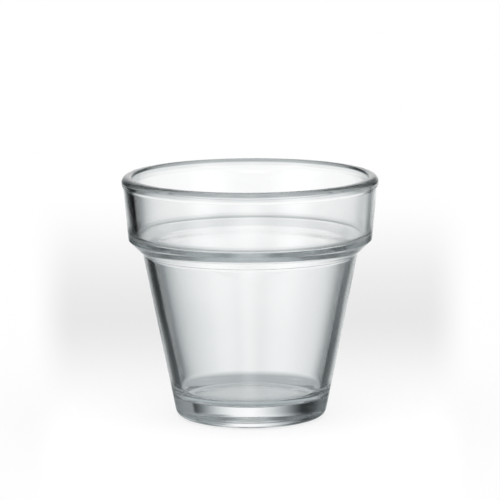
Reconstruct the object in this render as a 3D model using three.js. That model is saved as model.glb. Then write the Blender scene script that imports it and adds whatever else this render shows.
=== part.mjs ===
// Glass dessert cup in the form of a flower pot: one piece of thick pressed glass with a tapered
// bowl, a shoulder that steps out to a wider collar, a beaded rim and a heavy base.
// Millimetres, +Z up, origin at the centre of the circle that the foot stands on.
import * as THREE from 'three';

// Driving dimensions: outside of the cup
const RIM_DIAMETER = 87;
const CUP_HEIGHT = 82.5;
const FOOT_DIAMETER = 50.6;
const COLLAR_HEIGHT = 21.6;
const COLLAR_TAPER = 5.4;
const SHOULDER_STEP = 4.8;
const SHOULDER_DROP = 4.7;
const BEAD_HEIGHT = 3.9;
const BEAD_STAND_OUT = 0.5;
const BEAD_STEP_HEIGHT = 0.95;

// Driving dimensions: the glass itself
const WALL_THICKNESS = 3.3;
const LEDGE_RISE = 1.8;
const LIP_RISE = 3.4;
const FLOOR_HEIGHT = 7.2;
const BEARING_WIDTH = 1.25;
const RECESS_DEPTH = 0.3;
const RECESS_SLOPE_WIDTH = 2;

// Driving dimensions: rounded corners
const RIM_OUTER_ROUNDING = 2.1;
const RIM_INNER_ROUNDING = 0.9;
const BEAD_ROUNDING = 0.85;
const COLLAR_CORNER_ROUNDING = 0.33;
const CREASE_ROUNDING = 2.95;
const LEDGE_ROUNDING = 3.2;
const LIP_ROUNDING = 2.6;
const FLOOR_ROUNDING = 5.5;
const FOOT_ROUNDING = 3;
const RECESS_ROUNDING = 0.3;

// Fineness of the facets
const SEGMENTS_AROUND = 72;
const ARC_STEP = 16;

// A straight face of the section, from its lower end to its upper end.
function faceBetween(low, high) {
  const along = new THREE.Vector2().subVectors(high, low).normalize();
  return { point: low, along };
}

// The hollow side of a face: the same face moved square to itself by the glass thickness.
function hollowSide(face, thickness) {
  const inward = new THREE.Vector2(-face.along.y, face.along.x);
  return { point: face.point.clone().addScaledVector(inward, thickness), along: face.along };
}

// The point of a face at a given height.
function atHeight(face, height) {
  const distance = (height - face.point.y) / face.along.y;
  return face.point.clone().addScaledVector(face.along, distance);
}

// The length of a side that one of its two arcs may take, shared by the size of the arcs.
function shareOfSide(side, rounding, otherRounding = 0) {
  return side.length() * rounding / (rounding + otherRounding);
}

// The points of one corner of the section, with an arc that touches both of its sides.
function roundCorner(before, corner, after) {
  const back = new THREE.Vector2().subVectors(before.at, corner.at);
  const ahead = new THREE.Vector2().subVectors(after.at, corner.at);
  const roomBack = shareOfSide(back, corner.rounding, before.rounding);
  const roomAhead = shareOfSide(ahead, corner.rounding, after.rounding);
  back.normalize();
  ahead.normalize();
  const halfAngle = Math.acos(THREE.MathUtils.clamp(back.dot(ahead), -1, 1)) / 2;
  const reach = Math.min(corner.rounding / Math.tan(halfAngle), roomBack, roomAhead);
  const radius = reach * Math.tan(halfAngle);
  const middle = new THREE.Vector2().addVectors(back, ahead).normalize();
  const centre = corner.at.clone().addScaledVector(middle, radius / Math.sin(halfAngle));
  const start = corner.at.clone().addScaledVector(back, reach).sub(centre);
  const end = corner.at.clone().addScaledVector(ahead, reach).sub(centre);
  const clockwise = start.cross(end) < 0;
  const turn = THREE.MathUtils.radToDeg(Math.PI - 2 * halfAngle);
  const steps = Math.max(2, Math.round(turn / ARC_STEP));
  const arc = new THREE.ArcCurve(centre.x, centre.y, radius, start.angle(), end.angle(), clockwise);
  return arc.getPoints(steps);
}

// The outline through a list of corners, where a corner that has a rounding becomes an arc.
function roundedOutline(corners) {
  return corners.flatMap((corner, index) => {
    if (corner.rounding === undefined) {
      return [corner.at];
    }
    return roundCorner(corners[index - 1], corner, corners[index + 1]);
  });
}

// Section of the glass on one side of the axis, from under the base, up the outside, over the rim
// and down the inside to the floor.
function glassSection() {
  const rimRadius = RIM_DIAMETER / 2;
  const beadHeight = CUP_HEIGHT - BEAD_HEIGHT;
  const collarLowHeight = CUP_HEIGHT - COLLAR_HEIGHT;
  const collarRun = (beadHeight - collarLowHeight) * Math.tan(THREE.MathUtils.degToRad(COLLAR_TAPER));

  // Corners of the outside
  const foot = new THREE.Vector2(FOOT_DIAMETER / 2, 0);
  const collarTop = new THREE.Vector2(rimRadius - BEAD_STAND_OUT, beadHeight);
  const collarLow = new THREE.Vector2(collarTop.x - collarRun, collarLowHeight);
  const crease = new THREE.Vector2(collarLow.x - SHOULDER_STEP, collarLow.y - SHOULDER_DROP);
  const beadLow = new THREE.Vector2(rimRadius, beadHeight + BEAD_STEP_HEIGHT);
  const rimOutside = new THREE.Vector2(rimRadius, CUP_HEIGHT);

  // Shallow recess under the base, inside the ring that the cup stands on
  const lean = Math.atan2(crease.x - foot.x, crease.y - foot.y);
  const footReach = FOOT_ROUNDING * Math.tan((Math.PI / 2 - lean) / 2);
  const recessEdge = new THREE.Vector2(foot.x - footReach - BEARING_WIDTH, 0);
  const recessTop = new THREE.Vector2(recessEdge.x - RECESS_SLOPE_WIDTH, RECESS_DEPTH);

  // The hollow keeps one glass thickness from the bowl and the collar. A sloped ledge joins its two
  // parts a little above the shoulder, where the glass is thicker.
  const bowlInside = hollowSide(faceBetween(foot, crease), WALL_THICKNESS);
  const collarInside = hollowSide(faceBetween(collarLow, collarTop), WALL_THICKNESS);
  const rimInside = atHeight(collarInside, CUP_HEIGHT);
  const ledge = atHeight(collarInside, collarLow.y + LEDGE_RISE);
  const lip = atHeight(bowlInside, crease.y + LIP_RISE);
  const floorEdge = atHeight(bowlInside, FLOOR_HEIGHT);

  return roundedOutline([
    { at: new THREE.Vector2(0, RECESS_DEPTH) },
    { at: recessTop, rounding: RECESS_ROUNDING },
    { at: recessEdge, rounding: RECESS_ROUNDING },
    { at: foot, rounding: FOOT_ROUNDING },
    { at: crease, rounding: CREASE_ROUNDING },
    { at: collarLow, rounding: COLLAR_CORNER_ROUNDING },
    { at: collarTop, rounding: BEAD_ROUNDING },
    { at: beadLow, rounding: BEAD_ROUNDING },
    { at: rimOutside, rounding: RIM_OUTER_ROUNDING },
    { at: rimInside, rounding: RIM_INNER_ROUNDING },
    { at: ledge, rounding: LEDGE_ROUNDING },
    { at: lip, rounding: LIP_ROUNDING },
    { at: floorEdge, rounding: FLOOR_ROUNDING },
    { at: new THREE.Vector2(0, FLOOR_HEIGHT) },
  ]);
}

// The cup: its section turned about the upright axis, in clear glass with a faint cool tint.
function glassCup() {
  const geometry = new THREE.LatheGeometry(glassSection(), SEGMENTS_AROUND);
  geometry.rotateX(Math.PI / 2);
  const glass = new THREE.MeshStandardMaterial({
    color: 0xd9e2e0,
    roughness: 0.04,
    metalness: 0,
    transparent: true,
    opacity: 0.35,
  });
  const cup = new THREE.Mesh(geometry, glass);
  cup.name = 'glass_cup';
  return cup;
}

const dessertCup = new THREE.Group();
dessertCup.add(glassCup());

export default dessertCup;
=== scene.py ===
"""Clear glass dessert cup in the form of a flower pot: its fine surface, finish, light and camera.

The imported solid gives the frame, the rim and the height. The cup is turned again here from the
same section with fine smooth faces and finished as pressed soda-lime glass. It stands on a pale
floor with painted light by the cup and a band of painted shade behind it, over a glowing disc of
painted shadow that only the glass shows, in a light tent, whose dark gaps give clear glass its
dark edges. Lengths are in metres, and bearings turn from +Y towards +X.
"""

import logging
import math
from dataclasses import dataclass
from enum import Enum

import bpy
from mathutils import Matrix, Vector, noise


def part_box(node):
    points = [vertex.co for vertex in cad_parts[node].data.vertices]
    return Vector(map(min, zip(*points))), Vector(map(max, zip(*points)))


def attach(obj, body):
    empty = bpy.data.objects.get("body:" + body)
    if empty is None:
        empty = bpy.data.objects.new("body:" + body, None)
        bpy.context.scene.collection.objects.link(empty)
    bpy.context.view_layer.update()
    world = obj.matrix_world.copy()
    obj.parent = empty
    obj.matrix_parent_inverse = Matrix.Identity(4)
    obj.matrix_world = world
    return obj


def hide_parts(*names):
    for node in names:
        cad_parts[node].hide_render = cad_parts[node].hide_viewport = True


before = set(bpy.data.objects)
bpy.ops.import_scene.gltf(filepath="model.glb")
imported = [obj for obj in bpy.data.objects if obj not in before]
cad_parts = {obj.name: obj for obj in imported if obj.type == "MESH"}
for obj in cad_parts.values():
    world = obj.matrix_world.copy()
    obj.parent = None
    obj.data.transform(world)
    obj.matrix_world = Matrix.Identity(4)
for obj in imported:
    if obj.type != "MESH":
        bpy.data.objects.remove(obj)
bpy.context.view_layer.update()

log = logging.getLogger("dessert_cup")

Colour = tuple[float, float, float, float]
Span = tuple[float, float]
Socket = bpy.types.NodeSocket

MM = 0.001
HALF_TURN = 180.0
WHITE = (1.0, 1.0, 1.0, 1.0)
BODY = "root"
CUP_NODE = "glass_cup"
GLASS_BOUNCES = 32
GLOSSY_BOUNCES = 24


class RayKind(Enum):
    """The kinds of ray that see a stage surface as a plain backdrop."""

    CAMERA = "Is Camera Ray"
    GLOSSY = "Is Glossy Ray"
    TRANSMISSION = "Is Transmission Ray"


class NodeDesk:
    """Adds and joins shader nodes in one node tree."""

    def __init__(self, tree: bpy.types.NodeTree) -> None:
        """Empties the tree, so that every node in it is made here.

        Args:
            tree: The node tree of a material or a world.
        """
        self.tree = tree
        tree.nodes.clear()

    def add(self, kind: str, **sockets: object) -> bpy.types.Node:
        """Adds a node and sets its inputs.

        Args:
            kind: Blender's name of the node type.
            **sockets: Input values by socket name, with an underscore for each space.

        Returns:
            The new node.
        """
        node = self.tree.nodes.new(kind)
        for name, value in sockets.items():
            node.inputs[name.replace("_", " ")].default_value = value
        return node

    def join(self, source: Socket, target: Socket) -> None:
        """Links an output to an input."""
        self.tree.links.new(source, target)

    def place(self, coordinates: str) -> Socket:
        """Gives the place of a spot in the named texture coordinates."""
        return self.add("ShaderNodeTexCoord").outputs[coordinates]

    def axes(self, place: Socket) -> tuple[Socket, Socket, Socket]:
        """Splits a place into its coordinates.

        Args:
            place: The place's output.

        Returns:
            The outputs of X, Y and Z.
        """
        node = self.add("ShaderNodeSeparateXYZ")
        self.join(place, node.inputs["Vector"])
        return node.outputs["X"], node.outputs["Y"], node.outputs["Z"]

    def cloud(self, place: Socket, scale: float, detail: float, roughness: float) -> Socket:
        """Adds a cloudy noise.

        Args:
            place: The place's output.
            scale: Number of clouds to the metre.
            detail: Number of finer layers.
            roughness: Strength of the finer layers.

        Returns:
            The noise, from 0 to 1.
        """
        node = self.add("ShaderNodeTexNoise", Scale=scale, Detail=detail, Roughness=roughness)
        self.join(place, node.inputs["Vector"])
        return node.outputs["Fac"]

    def ramp(self, factor: Socket, stops: tuple[Span, ...]) -> Socket:
        """Adds a ramp of greys.

        Args:
            factor: The output that drives the ramp.
            stops: Places from 0 to 1, each with its grey level.

        Returns:
            The ramp's colour output.
        """
        node = self.add("ShaderNodeValToRGB")
        elements = node.color_ramp.elements
        while len(elements) < len(stops):
            elements.new(1.0)
        for element, (place, grey) in zip(elements, stops):
            element.position = place
            element.color = (grey, grey, grey, 1.0)
        self.join(factor, node.inputs["Fac"])
        return node.outputs["Color"]

    def math(self, operation: str, *values: object) -> Socket:
        """Adds a maths node.

        Args:
            operation: Blender's name of the operation.
            *values: Up to three numbers or outputs.

        Returns:
            The node's result.
        """
        node = self.add("ShaderNodeMath")
        node.operation = operation
        for place, value in enumerate(values):
            if isinstance(value, Socket):
                self.join(value, node.inputs[place])
            else:
                node.inputs[place].default_value = value
        return node.outputs["Value"]

    def mix_colours(self, factor: Socket, low: Colour, high: Colour) -> Socket:
        """Adds a mix of two colours.

        Args:
            factor: The output that drives the mix.
            low: Colour at 0.
            high: Colour at 1.

        Returns:
            The mixed colour.
        """
        node = self.add("ShaderNodeMix")
        node.data_type = "RGBA"
        self.join(factor, node.inputs["Factor"])
        ends = [socket for socket in node.inputs if socket.type == "RGBA"]
        ends[0].default_value = low
        ends[1].default_value = high
        return next(socket for socket in node.outputs if socket.type == "RGBA")

    def mix_shaders(self, factor: Socket, low: Socket, high: Socket) -> Socket:
        """Adds a mix of two shaders.

        Args:
            factor: The output that drives the mix.
            low: Shader at 0.
            high: Shader at 1.

        Returns:
            The mixed shader.
        """
        node = self.add("ShaderNodeMixShader")
        self.join(factor, node.inputs["Fac"])
        self.join(low, node.inputs[1])
        self.join(high, node.inputs[2])
        return node.outputs["Shader"]

    def tinted(self, colour: Socket, tint: Colour) -> Socket:
        """Multiplies a colour by a tint.

        Args:
            colour: The colour's output.
            tint: The tint.

        Returns:
            The tinted colour.
        """
        node = self.add("ShaderNodeVectorMath")
        node.operation = "MULTIPLY"
        self.join(colour, node.inputs[0])
        node.inputs[1].default_value = tint[:3]
        return node.outputs["Vector"]

    def rise(self, value: Socket, span: Span) -> Socket:
        """Goes smoothly from 0 to 1 as a value crosses a span.

        Args:
            value: The output that is compared.
            span: The values that give 0 and 1, in either order.

        Returns:
            The share from 0 to 1.
        """
        node = self.add("ShaderNodeMapRange", From_Min=min(span), From_Max=max(span))
        node.interpolation_type = "SMOOTHSTEP"
        self.join(value, node.inputs["Value"])
        share = node.outputs["Result"]
        return share if span[0] < span[1] else self.math("SUBTRACT", 1.0, share)

    def blend(self, share: Socket, low: object, high: object) -> Socket:
        """Goes from one level to another by a share.

        Args:
            share: The share of the second level.
            low: The first level, a number or an output.
            high: The second level, a number or an output.

        Returns:
            The blended level.
        """
        rest = self.math("MULTIPLY", self.math("SUBTRACT", 1.0, share), low)
        return self.math("MULTIPLY_ADD", share, high, rest)

    def seen_by(self, *kinds: RayKind) -> Socket:
        """Gives 1 for the named kinds of ray and 0 for the rest.

        Args:
            *kinds: The kinds of ray.

        Returns:
            The output that holds 1 or 0.
        """
        path = self.add("ShaderNodeLightPath")
        total = path.outputs[kinds[0].value]
        for kind in kinds[1:]:
            total = self.math("MAXIMUM", total, path.outputs[kind.value])
        return total


def new_material(name: str) -> tuple[bpy.types.Material, NodeDesk]:
    """Makes an empty material.

    Args:
        name: The material's name.

    Returns:
        The material and the desk of its nodes.
    """
    material = bpy.data.materials.new(name)
    material.use_nodes = True
    return material, NodeDesk(material.node_tree)


@dataclass(frozen=True)
class ClearGlass:
    """Finish of pressed glass: a faint cool tint, a slow ripple and an uneven polish.

    The polish is a little duller on the ledge inside and on the foot.
    """

    name: str = "clear_pressed_glass"
    refraction: float = 1.52
    deep_tint: Colour = (0.99, 0.996, 1.0, 1.0)
    absorbed: Colour = (0.62, 0.72, 0.74, 1.0)
    density: float = 3.0
    ripple_scale: float = 55.0
    ripple_detail: float = 1.0
    ripple_roughness: float = 0.4
    ripple_depth: float = 0.02 * MM
    smear_scale: float = 140.0
    smear_detail: float = 3.0
    smear_roughness: float = 0.6
    smear_span: Span = (0.45, 0.8)
    polish: float = 0.03
    smear: float = 0.055
    foot_dullness: float = 0.07
    foot_end: Span = (5.0 * MM, 2.5 * MM)
    ledge_dullness: float = 0.08
    ledge_start: Span = (55.5 * MM, 58.5 * MM)
    ledge_end: Span = (67.0 * MM, 64.0 * MM)

    def material(self) -> bpy.types.Material:
        """Makes the glass material.

        Returns:
            The new material.
        """
        material, desk = new_material(self.name)
        place = desk.place("Object")
        smears = desk.cloud(place, self.smear_scale, self.smear_detail, self.smear_roughness)
        glass = desk.add("ShaderNodeBsdfPrincipled", IOR=self.refraction, Transmission_Weight=1.0)
        tint = desk.mix_colours(smears, WHITE, self.deep_tint)
        desk.join(tint, glass.inputs["Base Color"])
        desk.join(self.dullness(desk, place, smears), glass.inputs["Roughness"])
        desk.join(self.ripple(desk, place), glass.inputs["Normal"])
        volume = desk.add("ShaderNodeVolumeAbsorption", Color=self.absorbed, Density=self.density)
        out = desk.add("ShaderNodeOutputMaterial")
        desk.join(glass.outputs["BSDF"], out.inputs["Surface"])
        desk.join(volume.outputs["Volume"], out.inputs["Volume"])
        return material

    def dullness(self, desk: NodeDesk, place: Socket, smears: Socket) -> Socket:
        """Works out the roughness from the smears and from the height of the ledge and the foot.

        Args:
            desk: The material's nodes.
            place: The place on the cup.
            smears: The noise of the smears.

        Returns:
            The roughness.
        """
        height = desk.axes(place)[2]
        past_start = desk.rise(height, self.ledge_start)
        before_end = desk.rise(height, self.ledge_end)
        ledge = desk.math("MULTIPLY", past_start, before_end)
        foot = desk.rise(height, self.foot_end)
        dull = desk.blend(desk.rise(smears, self.smear_span), self.polish, self.smear)
        dull = desk.math("MULTIPLY_ADD", ledge, self.ledge_dullness, dull)
        return desk.math("MULTIPLY_ADD", foot, self.foot_dullness, dull)

    def ripple(self, desk: NodeDesk, place: Socket) -> Socket:
        """Adds the slow ripple that a metal mould leaves in the glass.

        Args:
            desk: The material's nodes.
            place: The place on the cup.

        Returns:
            The rippled normal.
        """
        wave = desk.cloud(place, self.ripple_scale, self.ripple_detail, self.ripple_roughness)
        bump = desk.add("ShaderNodeBump", Strength=1.0, Distance=self.ripple_depth)
        desk.join(wave, bump.inputs["Height"])
        return bump.outputs["Normal"]


@dataclass(frozen=True)
class PaleFloor:
    """Finish of the floor: painted light just above white by the cup, which lifts the cup's shadow
    there, a band of painted shade behind it, and white far away and aside.
    """

    name: str = "pale_floor"
    bearing: float = math.radians(132.0)
    darken_span: Span = (-50.0 * MM, 185.0 * MM)
    lighten_span: Span = (170.0 * MM, 520.0 * MM)
    aside_span: Span = (76.0 * MM, 60.0 * MM)
    widening_reach: float = 1200.0 * MM
    painted_light_level: float = 1.08
    painted_shade_level: float = 0.81
    far_level: float = 1.0
    shaded_share: float = 0.3

    def shade(self, desk: NodeDesk) -> Socket:
        """Works out the floor's painted light and shade from the distance behind the cup and aside.

        Args:
            desk: The material's nodes.

        Returns:
            The grey level.
        """
        east, north, _ = desk.axes(desk.place("Object"))
        sine = math.sin(self.bearing)
        cosine = math.cos(self.bearing)
        behind = desk.math("MULTIPLY_ADD", east, sine, desk.math("MULTIPLY", north, cosine))
        aside = desk.math("MULTIPLY_ADD", east, cosine, desk.math("MULTIPLY", north, -sine))
        # Painted light just above white by the cup, falling to painted shade in a band behind it,
        # then white again far away.
        grey = desk.blend(desk.rise(behind, self.darken_span), self.painted_light_level, self.painted_shade_level)
        grey = desk.blend(desk.rise(behind, self.lighten_span), grey, self.far_level)
        width = desk.math("MULTIPLY_ADD", behind, 1.0 / self.widening_reach, 1.0)
        near = desk.math("ABSOLUTE", desk.math("DIVIDE", aside, width))
        return desk.blend(desk.rise(near, self.aside_span), self.far_level, grey)

    def material(self) -> bpy.types.Material:
        """Makes the floor material, part paper that takes the cup's shadow and part glow that
        carries the painted light and shade.

        Returns:
            The new material.
        """
        material, desk = new_material(self.name)
        shade = self.shade(desk)
        paper = desk.add("ShaderNodeBsdfDiffuse")
        desk.join(shade, paper.inputs["Color"])
        glow = desk.add("ShaderNodeEmission")
        desk.join(shade, glow.inputs["Color"])
        seen = desk.seen_by(RayKind.CAMERA, RayKind.GLOSSY, RayKind.TRANSMISSION)
        share = desk.math("MULTIPLY", seen, 1.0 - self.shaded_share)
        surface = desk.mix_shaders(share, paper.outputs["BSDF"], glow.outputs["Emission"])
        out = desk.add("ShaderNodeOutputMaterial")
        desk.join(surface, out.inputs["Surface"])
        return material


@dataclass(frozen=True)
class PaintedShadowFinish:
    """Painted shadow of the cup on the floor under it, as the glass above shows it: a glowing cool
    grey, lighter by the foot ring.
    """

    name: str = "painted_shadow_under_cup"
    tint: Colour = (0.88, 0.97, 1.0, 1.0)
    reach: float = 25.5 * MM
    shades: tuple[Span, ...] = ((0.8, 0.37), (0.86, 0.5))

    def material(self) -> bpy.types.Material:
        """Makes the material.

        Returns:
            The new material.
        """
        material, desk = new_material(self.name)
        distance = desk.add("ShaderNodeVectorMath")
        distance.operation = "LENGTH"
        desk.join(desk.place("Object"), distance.inputs[0])
        # Painted shadow: a glowing grey, darker in the middle and lighter by the foot ring, tinted
        # cool.
        grey = desk.ramp(desk.math("DIVIDE", distance.outputs["Value"], self.reach), self.shades)
        glow = desk.add("ShaderNodeEmission")
        desk.join(desk.tinted(grey, self.tint), glow.inputs["Color"])
        out = desk.add("ShaderNodeOutputMaterial")
        desk.join(glow.outputs["Emission"], out.inputs["Surface"])
        return material


@dataclass(frozen=True)
class Corner:
    """A corner of the glass section, with the radius of its rounding."""

    at: Vector
    rounding: float = 0.0


@dataclass(frozen=True)
class Face:
    """A straight face of the glass section: a point on it and the direction it rises in."""

    point: Vector
    along: Vector

    @classmethod
    def between(cls, low: Vector, high: Vector) -> "Face":
        """Makes the face from its lower end to its upper end."""
        return cls(low.copy(), (high - low).normalized())

    def hollow_side(self, thickness: float) -> "Face":
        """Gives the same face moved square to itself, into the cup, by the glass thickness."""
        inward = Vector((-self.along.y, self.along.x))
        return Face(self.point + inward * thickness, self.along)

    def at_height(self, height: float) -> Vector:
        """Gives the point of the face at a height."""
        return self.point + self.along * ((height - self.point.y) / self.along.y)


@dataclass
class GlassSection:
    """The section of the cup on one side of its axis, from under the base round to the floor."""

    rim_radius: float
    height: float
    foot_radius: float = 25.3 * MM
    collar_height: float = 21.6 * MM
    collar_taper: float = math.radians(5.4)
    shoulder_step: float = 4.8 * MM
    shoulder_drop: float = 4.7 * MM
    bead_height: float = 3.9 * MM
    bead_stand_out: float = 0.5 * MM
    bead_step_height: float = 0.95 * MM
    wall: float = 3.3 * MM
    ledge_rise: float = 1.8 * MM
    lip_rise: float = 3.4 * MM
    floor_height: float = 7.2 * MM
    bearing_width: float = 1.25 * MM
    recess_depth: float = 0.3 * MM
    recess_slope: float = 2.0 * MM
    rim_outer_rounding: float = 2.1 * MM
    rim_inner_rounding: float = 0.9 * MM
    bead_rounding: float = 0.85 * MM
    collar_corner_rounding: float = 0.33 * MM
    crease_rounding: float = 2.95 * MM
    ledge_rounding: float = 3.2 * MM
    lip_rounding: float = 2.6 * MM
    floor_rounding: float = 5.5 * MM
    foot_rounding: float = 3.0 * MM
    recess_rounding: float = 0.3 * MM
    arc_step: float = math.radians(4.0)
    least_arc_steps: int = 2
    row: float = 1.5 * MM
    edge_row: float = 0.15 * MM

    def corners(self) -> list[Corner]:
        """Gives the corners of the section in order, from the axis round to the axis.

        Returns:
            The corners with their roundings.
        """
        bead_low_height = self.height - self.bead_height
        collar_low_height = self.height - self.collar_height
        collar_run = (bead_low_height - collar_low_height) * math.tan(self.collar_taper)
        foot = Vector((self.foot_radius, 0.0))
        collar_top = Vector((self.rim_radius - self.bead_stand_out, bead_low_height))
        collar_low = Vector((collar_top.x - collar_run, collar_low_height))
        crease = collar_low - Vector((self.shoulder_step, self.shoulder_drop))
        bead_low = Vector((self.rim_radius, bead_low_height + self.bead_step_height))
        lean = math.atan2(crease.x - foot.x, crease.y - foot.y)
        foot_reach = self.foot_rounding * math.tan((math.pi / 2 - lean) / 2)
        recess_edge = Vector((foot.x - foot_reach - self.bearing_width, 0.0))
        recess_top = Vector((recess_edge.x - self.recess_slope, self.recess_depth))
        bowl_inside = Face.between(foot, crease).hollow_side(self.wall)
        collar_inside = Face.between(collar_low, collar_top).hollow_side(self.wall)
        return [
            Corner(Vector((0.0, self.recess_depth))),
            Corner(recess_top, self.recess_rounding),
            Corner(recess_edge, self.recess_rounding),
            Corner(foot, self.foot_rounding),
            Corner(crease, self.crease_rounding),
            Corner(collar_low, self.collar_corner_rounding),
            Corner(collar_top, self.bead_rounding),
            Corner(bead_low, self.bead_rounding),
            Corner(Vector((self.rim_radius, self.height)), self.rim_outer_rounding),
            Corner(collar_inside.at_height(self.height), self.rim_inner_rounding),
            Corner(collar_inside.at_height(collar_low.y + self.ledge_rise), self.ledge_rounding),
            Corner(bowl_inside.at_height(crease.y + self.lip_rise), self.lip_rounding),
            Corner(bowl_inside.at_height(self.floor_height), self.floor_rounding),
            Corner(Vector((0.0, self.floor_height))),
        ]

    def arc(self, before: Corner, corner: Corner, after: Corner) -> list[Vector]:
        """Rounds one corner.

        Args:
            before: The corner before it.
            corner: The corner to round.
            after: The corner after it.

        Returns:
            The points of the arc that touches both sides.
        """
        back = before.at - corner.at
        ahead = after.at - corner.at
        room_back = back.length * corner.rounding / (corner.rounding + before.rounding)
        room_ahead = ahead.length * corner.rounding / (corner.rounding + after.rounding)
        back.normalize()
        ahead.normalize()
        half_angle = back.angle(ahead) / 2
        reach = min(corner.rounding / math.tan(half_angle), room_back, room_ahead)
        radius = reach * math.tan(half_angle)
        centre = corner.at + (back + ahead).normalized() * (radius / math.sin(half_angle))
        start = corner.at + back * reach - centre
        end = corner.at + ahead * reach - centre
        turn = math.atan2(start.x * end.y - start.y * end.x, start.dot(end))
        steps = max(self.least_arc_steps, math.ceil(abs(turn) / self.arc_step))
        turns = [Matrix.Rotation(-turn * step / steps, 2) for step in range(steps + 1)]
        return [centre + start @ part_turn for part_turn in turns]

    def side(self, start: Vector, end: Vector) -> list[Vector]:
        """Splits a straight side into rows, with a narrow row next to each of its ends.

        Args:
            start: The point where the side starts.
            end: The point where it ends.

        Returns:
            The points between the two ends, or none on a side that is too short for rows.
        """
        edges = 2 * self.edge_row
        length = (end - start).length
        if length < 2 * edges:
            return []
        along = (end - start) / length
        rows = max(1, math.ceil((length - edges) / self.row))
        step = (length - edges) / rows
        return [start + along * (self.edge_row + step * index) for index in range(rows + 1)]

    def outline(self) -> list[Vector]:
        """Gives the whole outline, with arcs at the corners and rows along the sides.

        Returns:
            Points of radius and height.
        """
        corners = self.corners()
        points = [corners[0].at]
        stretches = [self.arc(*three) for three in zip(corners, corners[1:], corners[2:])]
        stretches.append([corners[-1].at])
        for stretch in stretches:
            points += self.side(points[-1], stretch[0])
            points += stretch
        return points


@dataclass
class GlassCup:
    """The cup: its section turned about the upright axis, with slow waves on the hollow side."""

    section: GlassSection
    finish: ClearGlass
    name: str = "pressed_glass_cup"
    segments: int = 288
    wave_length: float = 17.0 * MM
    wave_depth: float = 0.05 * MM
    calm_rim: float = 6.0 * MM

    def wave(self, spot: Vector, rim_height: float) -> float:
        """Gives how far the plunger's wave stands out at a spot of the hollow side.

        Args:
            spot: The place on the even surface.
            rim_height: Height of the rim, where the waves die out.

        Returns:
            The distance square to the surface.
        """
        share = min(1.0, max(0.0, (rim_height - spot.z) / self.calm_rim))
        return self.wave_depth * share * noise.noise(spot / self.wave_length)

    def rings(self, outline: list[Vector]) -> list[Vector]:
        """Turns the outline's points about the axis, ring by ring.

        Args:
            outline: Points of radius and height from axis to axis.

        Returns:
            The places of all rings in order, without the two ends on the axis.
        """
        top = max(range(len(outline)), key=lambda index: outline[index].y)
        rim_height = outline[top].y
        spots = []
        for index, point in enumerate(outline[1:-1], start=1):
            along = (outline[index + 1] - outline[index - 1]).normalized()
            for step in range(self.segments):
                angle = 2 * math.pi * step / self.segments
                turned = Vector((math.cos(angle), math.sin(angle), 0.0))
                spot = turned * point.x + Vector((0.0, 0.0, point.y))
                if index > top:
                    outward = turned * along.y - Vector((0.0, 0.0, along.x))
                    spot += outward * self.wave(spot, rim_height)
                spots.append(spot)
        return spots

    def mesh(self) -> bpy.types.Mesh:
        """Turns the section into a closed mesh with one point at each end of the axis.

        Returns:
            The new mesh.
        """
        outline = self.section.outline()
        vertices = [Vector((0.0, 0.0, outline[0].y))]
        vertices += self.rings(outline)
        vertices.append(Vector((0.0, 0.0, outline[-1].y)))
        top = len(vertices) - 1
        last = top - self.segments
        faces = []
        for step in range(self.segments):
            after = (step + 1) % self.segments
            faces.append((0, 1 + after, 1 + step))
            for low in range(1, last, self.segments):
                high = low + self.segments
                faces.append((low + step, low + after, high + after, high + step))
            faces.append((last + step, last + after, top))
        mesh = bpy.data.meshes.new(self.name)
        mesh.from_pydata(vertices, [], faces)
        mesh.validate()
        mesh.shade_smooth()
        return mesh

    def build(self) -> bpy.types.Object:
        """Makes the cup, dresses it and puts it in the place of its solid.

        Returns:
            The new piece.
        """
        piece = bpy.data.objects.new(self.name, self.mesh())
        bpy.context.scene.collection.objects.link(piece)
        piece.data.materials.append(self.finish.material())
        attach(piece, BODY)
        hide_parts(CUP_NODE)
        return piece


@dataclass(frozen=True)
class SoftWindow:
    """A soft-edged window of the light tent, or a dim flag before one, in degrees.

    A window gets wider with its elevation. The spread is the elevation at which it is twice as wide.
    """

    bearing: float
    full: float = 2.0
    fade: float = 34.0
    level: float = 1.0
    bottom_span: Span = (-30.0, -14.0)
    top_span: Span = (26.5, 31.0)
    spread: float = 60.0
    least_width: float = 0.5

    def cover(self, desk: NodeDesk, bearing: Socket, height: Socket) -> Socket:
        """Works out how much of a direction the window fills.

        Args:
            desk: The world's nodes.
            bearing: Bearing of the direction in degrees.
            height: Elevation of the direction in degrees.

        Returns:
            The share from 0 to 1.
        """
        aside = desk.math("SUBTRACT", bearing, self.bearing)
        aside = desk.math("ABSOLUTE", desk.math("WRAP", aside, HALF_TURN, -HALF_TURN))
        width = desk.math("MULTIPLY_ADD", height, 1.0 / self.spread, 1.0)
        width = desk.math("MAXIMUM", width, self.least_width)
        across = desk.rise(desk.math("DIVIDE", aside, width), (self.fade, self.full))
        above = desk.rise(height, self.bottom_span)
        below = desk.rise(height, (self.top_span[1], self.top_span[0]))
        return desk.math("MULTIPLY", across, desk.math("MULTIPLY", above, below))


@dataclass(frozen=True)
class UprightWindow(SoftWindow):
    """A soft window whose two sides are all but upright."""

    spread: float = 1000.0


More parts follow.
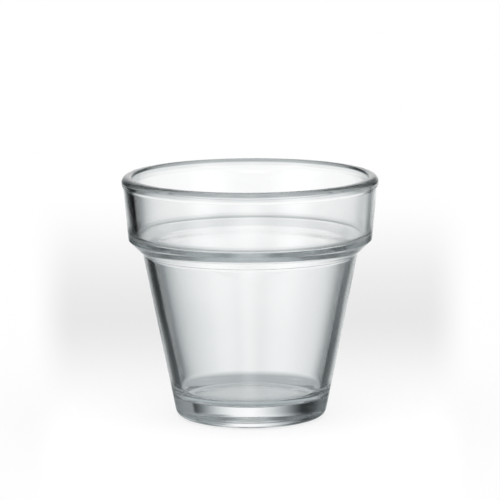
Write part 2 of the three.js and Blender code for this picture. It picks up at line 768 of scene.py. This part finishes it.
@dataclass(frozen=True)
class LightTent:
    """What the glass sees round it: soft windows, dark gaps, a grey table and a dim top.

    The table is bright straight below, and the top is brighter straight above.
    """

    dim_sides: tuple[SoftWindow, ...] = (
        SoftWindow(47.0, full=20.0, fade=45.0, level=0.2, top_span=(5.0, 25.0)),
        UprightWindow(
            -153.0,
            full=36.0,
            fade=39.5,
            level=0.3,
            bottom_span=(-12.0, -5.0),
            top_span=(35.0, 60.0),
        ),
        SoftWindow(
            -173.0,
            full=10.0,
            fade=40.0,
            level=0.75,
            bottom_span=(-20.0, -13.0),
            top_span=(-10.0, -3.0),
        ),
    )
    front_windows: tuple[SoftWindow, ...] = (
        SoftWindow(0.0),
        SoftWindow(-45.0, bottom_span=(-55.0, -35.0), top_span=(-14.0, -4.0)),
        SoftWindow(-90.0),
    )
    lit_table: SoftWindow = UprightWindow(
        133.0,
        full=8.0,
        fade=38.0,
        level=0.5,
        bottom_span=(-75.0, -50.0),
        top_span=(-22.0, -12.0),
    )
    high_windows: tuple[SoftWindow, ...] = (
        *(
            UprightWindow(
                bearing,
                full=6.0,
                fade=16.0,
                level=0.9,
                bottom_span=(32.0, 38.0),
                top_span=(48.0, 54.0),
            )
            for bearing in (69.0, -165.0)
        ),
        *(
            UprightWindow(
                bearing,
                full=4.0,
                fade=12.0,
                level=0.95,
                bottom_span=(28.0, 34.0),
                top_span=(45.0, 52.0),
            )
            for bearing in (114.0, 150.0)
        ),
    )
    backdrop: tuple[SoftWindow, ...] = (
        SoftWindow(134.5, fade=36.0, level=0.92, bottom_span=(-28.0, -15.0), top_span=(-8.5, -5.0)),
        SoftWindow(135.0, level=1.04, bottom_span=(-11.5, -8.5)),
    )
    dim_flag: SoftWindow = UprightWindow(
        155.0,
        full=4.0,
        fade=16.0,
        level=0.35,
        bottom_span=(4.0, 11.0),
        top_span=(22.0, 28.0),
    )
    name: str = "light_tent"
    table_level: float = 0.31
    below_level: float = 0.9
    gap_level: float = 0.01
    top_level: float = 0.25
    lamp_level: float = 0.45
    below_span: Span = (-75.0, -50.0)
    table_span: Span = (-30.0, -14.0)
    top_span: Span = (33.0, 55.0)
    lamp_span: Span = (72.0, 84.0)
    cool: Colour = (0.86, 0.97, 1.0, 1.0)

    def windows(self) -> list[SoftWindow]:
        """Gives the windows and the flag in the order in which they cover each other."""
        low_windows = [*self.dim_sides, *self.front_windows, self.lit_table]
        return [*low_windows, *self.high_windows, *self.backdrop, self.dim_flag]

    def level(self, desk: NodeDesk, bearing: Socket, height: Socket) -> Socket:
        """Lays the windows over the table, the gaps and the top.

        Args:
            desk: The world's nodes.
            bearing: Bearing of the direction in degrees.
            height: Elevation of the direction in degrees.

        Returns:
            The level of light in that direction.
        """
        level = desk.blend(desk.rise(height, self.below_span), self.below_level, self.table_level)
        level = desk.blend(desk.rise(height, self.table_span), level, self.gap_level)
        level = desk.blend(desk.rise(height, self.top_span), level, self.top_level)
        level = desk.blend(desk.rise(height, self.lamp_span), level, self.lamp_level)
        for window in self.windows():
            level = desk.blend(window.cover(desk, bearing, height), level, window.level)
        return level

    def build(self) -> bpy.types.World:
        """Makes the world: even white light for the scene, and the tent for rays from the glass.

        Returns:
            The new world.
        """
        world = bpy.data.worlds.new(self.name)
        world.use_nodes = True
        desk = NodeDesk(world.node_tree)
        east, north, up = desk.axes(desk.place("Generated"))
        bearing = desk.math("DEGREES", desk.math("ARCTAN2", east, north))
        height = desk.math("DEGREES", desk.math("ARCSINE", up))
        level = self.level(desk, bearing, height)
        tent = desk.add("ShaderNodeBackground")
        desk.join(desk.mix_colours(level, self.cool, WHITE), tent.inputs["Color"])
        desk.join(level, tent.inputs["Strength"])
        plain = desk.add("ShaderNodeBackground", Color=WHITE, Strength=1.0)
        seen = desk.seen_by(RayKind.GLOSSY, RayKind.TRANSMISSION)
        surface = desk.mix_shaders(seen, plain.outputs["Background"], tent.outputs["Background"])
        out = desk.add("ShaderNodeOutputWorld")
        desk.join(surface, out.inputs["Surface"])
        return world


@dataclass
class Studio:
    """The pale floor with its painted light and shade, the disc of painted shadow under the cup, and
    the light tent.
    """

    tent: LightTent
    floor_finish: PaleFloor
    painted_shadow_finish: PaintedShadowFinish
    floor_radius: float = 3.0
    floor_drop: float = 0.2 * MM
    patch_drop: float = 0.15 * MM
    sides: int = 128

    def disc(
        self,
        name: str,
        radius: float,
        drop: float,
        material: bpy.types.Material,
    ) -> bpy.types.Object:
        """Makes a flat disc just under the foot.

        Args:
            name: The disc's name.
            radius: Its radius.
            drop: How far it lies under the foot.
            material: Its material.

        Returns:
            The disc.
        """
        turns = [2 * math.pi * step / self.sides for step in range(self.sides)]
        vertices = [(radius * math.cos(turn), radius * math.sin(turn), 0.0) for turn in turns]
        mesh = bpy.data.meshes.new(name)
        mesh.from_pydata(vertices, [], [tuple(range(self.sides))])
        mesh.materials.append(material)
        disc = bpy.data.objects.new(name, mesh)
        disc.location.z = -drop
        bpy.context.scene.collection.objects.link(disc)
        return disc

    def build(self) -> None:
        """Makes the floor, the disc of painted shadow under the cup and the light tent.

        The glass doesn't see the floor, because the tent gives it a table by direction. Only the
        glass sees the disc of painted shadow under the cup.
        """
        floor_material = self.floor_finish.material()
        floor = self.disc("floor", self.floor_radius, self.floor_drop, floor_material)
        floor.visible_glossy = False
        floor.visible_transmission = False
        painted_shadow_material = self.painted_shadow_finish.material()
        # A glowing disc of painted shadow just under the foot, which only the glass sees.
        patch = self.disc("painted_shadow_disc", self.painted_shadow_finish.reach, self.patch_drop, painted_shadow_material)
        patch.visible_camera = False
        patch.visible_diffuse = False
        patch.visible_shadow = False
        bpy.context.scene.world = self.tent.build()


@dataclass
class PhotoCamera:
    """The camera, in the place that the cup's outline in the photograph gives."""

    name: str = "camera"
    distance: float = 1198.0 * MM
    bearing: float = math.radians(132.0)
    elevation: float = math.radians(9.39)
    aim_height: float = 56.75 * MM
    aim_across: float = -0.13 * MM
    roll: float = math.radians(-0.31)
    lens: float = 254.2
    sensor: float = 36.0
    clip_start: float = 0.1
    clip_end: float = 20.0

    def build(self) -> bpy.types.Object:
        """Makes the camera and sets it as the scene's own.

        Returns:
            The camera.
        """
        data = bpy.data.cameras.new(self.name)
        data.lens = self.lens
        data.sensor_width = self.sensor
        data.clip_start = self.clip_start
        data.clip_end = self.clip_end
        camera = bpy.data.objects.new(self.name, data)
        across = Vector((math.cos(self.bearing), -math.sin(self.bearing), 0.0))
        level = Vector((-math.sin(self.bearing), -math.cos(self.bearing), 0.0))
        back = level * math.cos(self.elevation) + Vector((0.0, 0.0, math.sin(self.elevation)))
        aim = across * self.aim_across + Vector((0.0, 0.0, self.aim_height))
        turn = (-back).to_track_quat("-Z", "Y").to_matrix().to_4x4()
        place = Matrix.Translation(aim + back * self.distance)
        camera.matrix_world = place @ turn @ Matrix.Rotation(self.roll, 4, "Z")
        bpy.context.scene.collection.objects.link(camera)
        bpy.context.scene.camera = camera
        return camera


def set_rendering() -> None:
    """Sets the plain view and enough bounces for thick glass."""
    scene = bpy.context.scene
    scene.view_settings.view_transform = "Standard"
    scene.cycles.max_bounces = GLASS_BOUNCES
    scene.cycles.transmission_bounces = GLASS_BOUNCES
    scene.cycles.glossy_bounces = GLOSSY_BOUNCES


def main() -> None:
    """Builds the camera, the cup and the studio, and logs the cup and the stage."""
    logging.basicConfig(level=logging.INFO, format="%(name)s: %(message)s")
    set_rendering()
    PhotoCamera().build()
    low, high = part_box(CUP_NODE)
    section = GlassSection(rim_radius=(high.x - low.x) / 2, height=high.z - low.z)
    cup = GlassCup(section, ClearGlass()).build()
    log.info("%s: %d faces", cup.name, len(cup.data.polygons))
    Studio(LightTent(), PaleFloor(), PaintedShadowFinish()).build()
    log.info("stage: floor and light tent")


if __name__ == "__main__":
    main()
